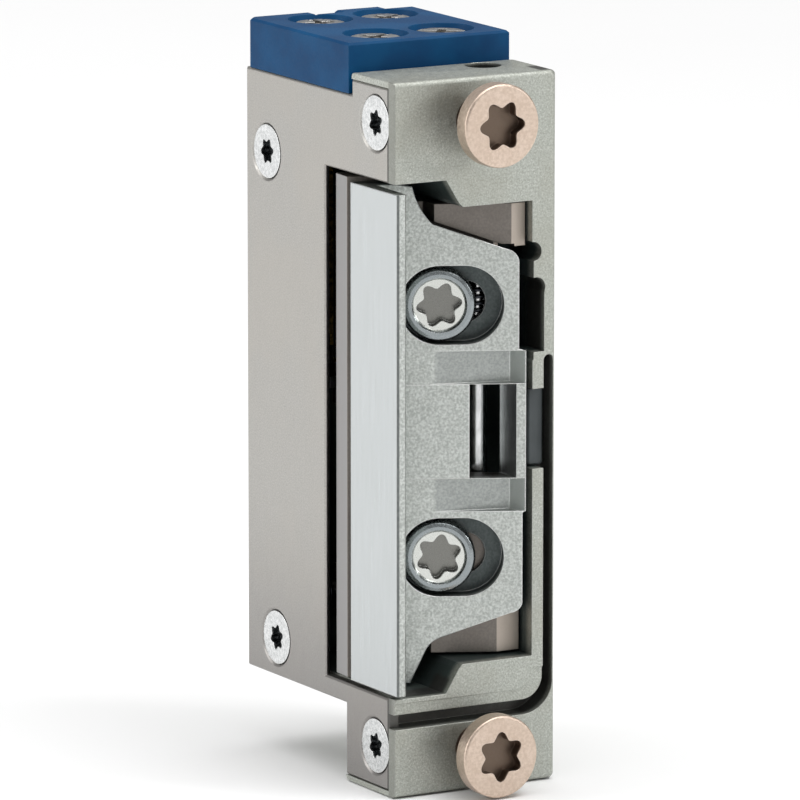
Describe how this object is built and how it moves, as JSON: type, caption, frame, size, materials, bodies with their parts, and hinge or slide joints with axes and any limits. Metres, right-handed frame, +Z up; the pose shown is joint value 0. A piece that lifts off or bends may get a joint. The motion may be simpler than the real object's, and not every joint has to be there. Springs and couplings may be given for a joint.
{
  "type": "electric door strike",
  "caption": "Compact electric door strike: cast housing with a side cover, a hinged adjustable keeper, a coil with its locking lever, and a blue terminal block.",
  "frame": {"origin": "middle of the front face, between the two mounting screws", "axes": "+Z up along the length, front face looks along -Y, the keeper's lip is on the -X side"},
  "size_m": [0.016, 0.0305, 0.0644],
  "materials": {
    "cast_zinc": "fine grained zinc casting",
    "satin_steel": "satin nickel",
    "zinc_screws": "bright zinc",
    "bronze_screws": "pale bronze plating",
    "keeper_cast": "cast, lip face polished",
    "carrier_steel": "bare brownish steel",
    "bright_screws": "bright zinc",
    "ground_steel": "ground",
    "spring_steel": "drawn wire",
    "dark_plastic": "matt",
    "black_plastic": "moulded",
    "copper_wire": "enamelled copper",
    "soft_iron": "plated",
    "red_plastic": "moulded",
    "blue_plastic": "moulded, satin",
    "nickel_screws": "bright nickel",
    "brass_clamps": "plated brass",
    "brass_strips": "stamped brass"
  },
  "bodies": {
    "housing": {"housing_casting": "cast_zinc", "cover_plate": "satin_steel", "cover_screws": "zinc_screws", "mounting_screws": "bronze_screws", "keeper_pin": "ground_steel", "keeper_spring": "spring_steel", "lever_pin": "ground_steel", "lever_spring": "spring_steel", "coil_bobbin": "black_plastic", "coil_winding": "copper_wire", "coil_core": "soft_iron", "coil_yoke": "soft_iron", "armature_pin": "ground_steel", "armature_spring": "spring_steel", "switch_body": "black_plastic", "terminal_block": "blue_plastic", "terminal_screws": "nickel_screws", "terminal_clamps": "brass_clamps", "contact_strips": "brass_strips"},
    "carrier": {"keeper_carrier": "carrier_steel", "adjusting_screws": "bright_screws"},
    "keeper": {"keeper": "keeper_cast"},
    "lever": {"locking_lever": "carrier_steel"},
    "armature": {"armature": "soft_iron"},
    "plunger": {"switch_plunger": "red_plastic"},
    "slide": {"release_slide": "dark_plastic"}
  },
  "joints": [
    {"name": "keeper_swing", "type": "hinge", "parent": "housing", "child": "carrier", "pos_m": [0.003, 0.005, 0], "axis": [0, 0, -1], "range_deg": [0, 28], "stiffness_Nm_per_rad": 0.02, "springref_deg": -14.32},
    {"name": "keeper_adjust", "type": "slide", "parent": "carrier", "child": "keeper", "axis": [-0.8988, 0.4384, 0], "range_m": [0, 0.0015]},
    {"name": "lever_swing", "type": "hinge", "parent": "housing", "child": "lever", "pos_m": [0, 0.0195, -0.0165], "axis": [-1, 0, 0], "range_deg": [0, 9.81]},
    {"name": "armature_swing", "type": "hinge", "parent": "housing", "child": "armature", "pos_m": [0.0056, 0.0202, 0.0022], "axis": [0, 1, 0], "range_deg": [0, 4.01], "deforming": ["armature_spring"]},
    {"name": "plunger_press", "type": "slide", "parent": "housing", "child": "plunger", "axis": [0, 1, 0], "range_m": [0, 0.0018]},
    {"name": "release_move", "type": "slide", "parent": "housing", "child": "slide", "axis": [0, 0, 1], "range_m": [0, 0.002]}
  ],
  "couplings": [
    {"joint": "lever_swing", "follows": "keeper_swing", "ratio": 0.35},
    {"joint": "armature_swing", "follows": "keeper_swing", "ratio": 0.143},
    {"joint": "plunger_press", "follows": "keeper_swing", "m_per_rad": 0.0036}
  ]
}
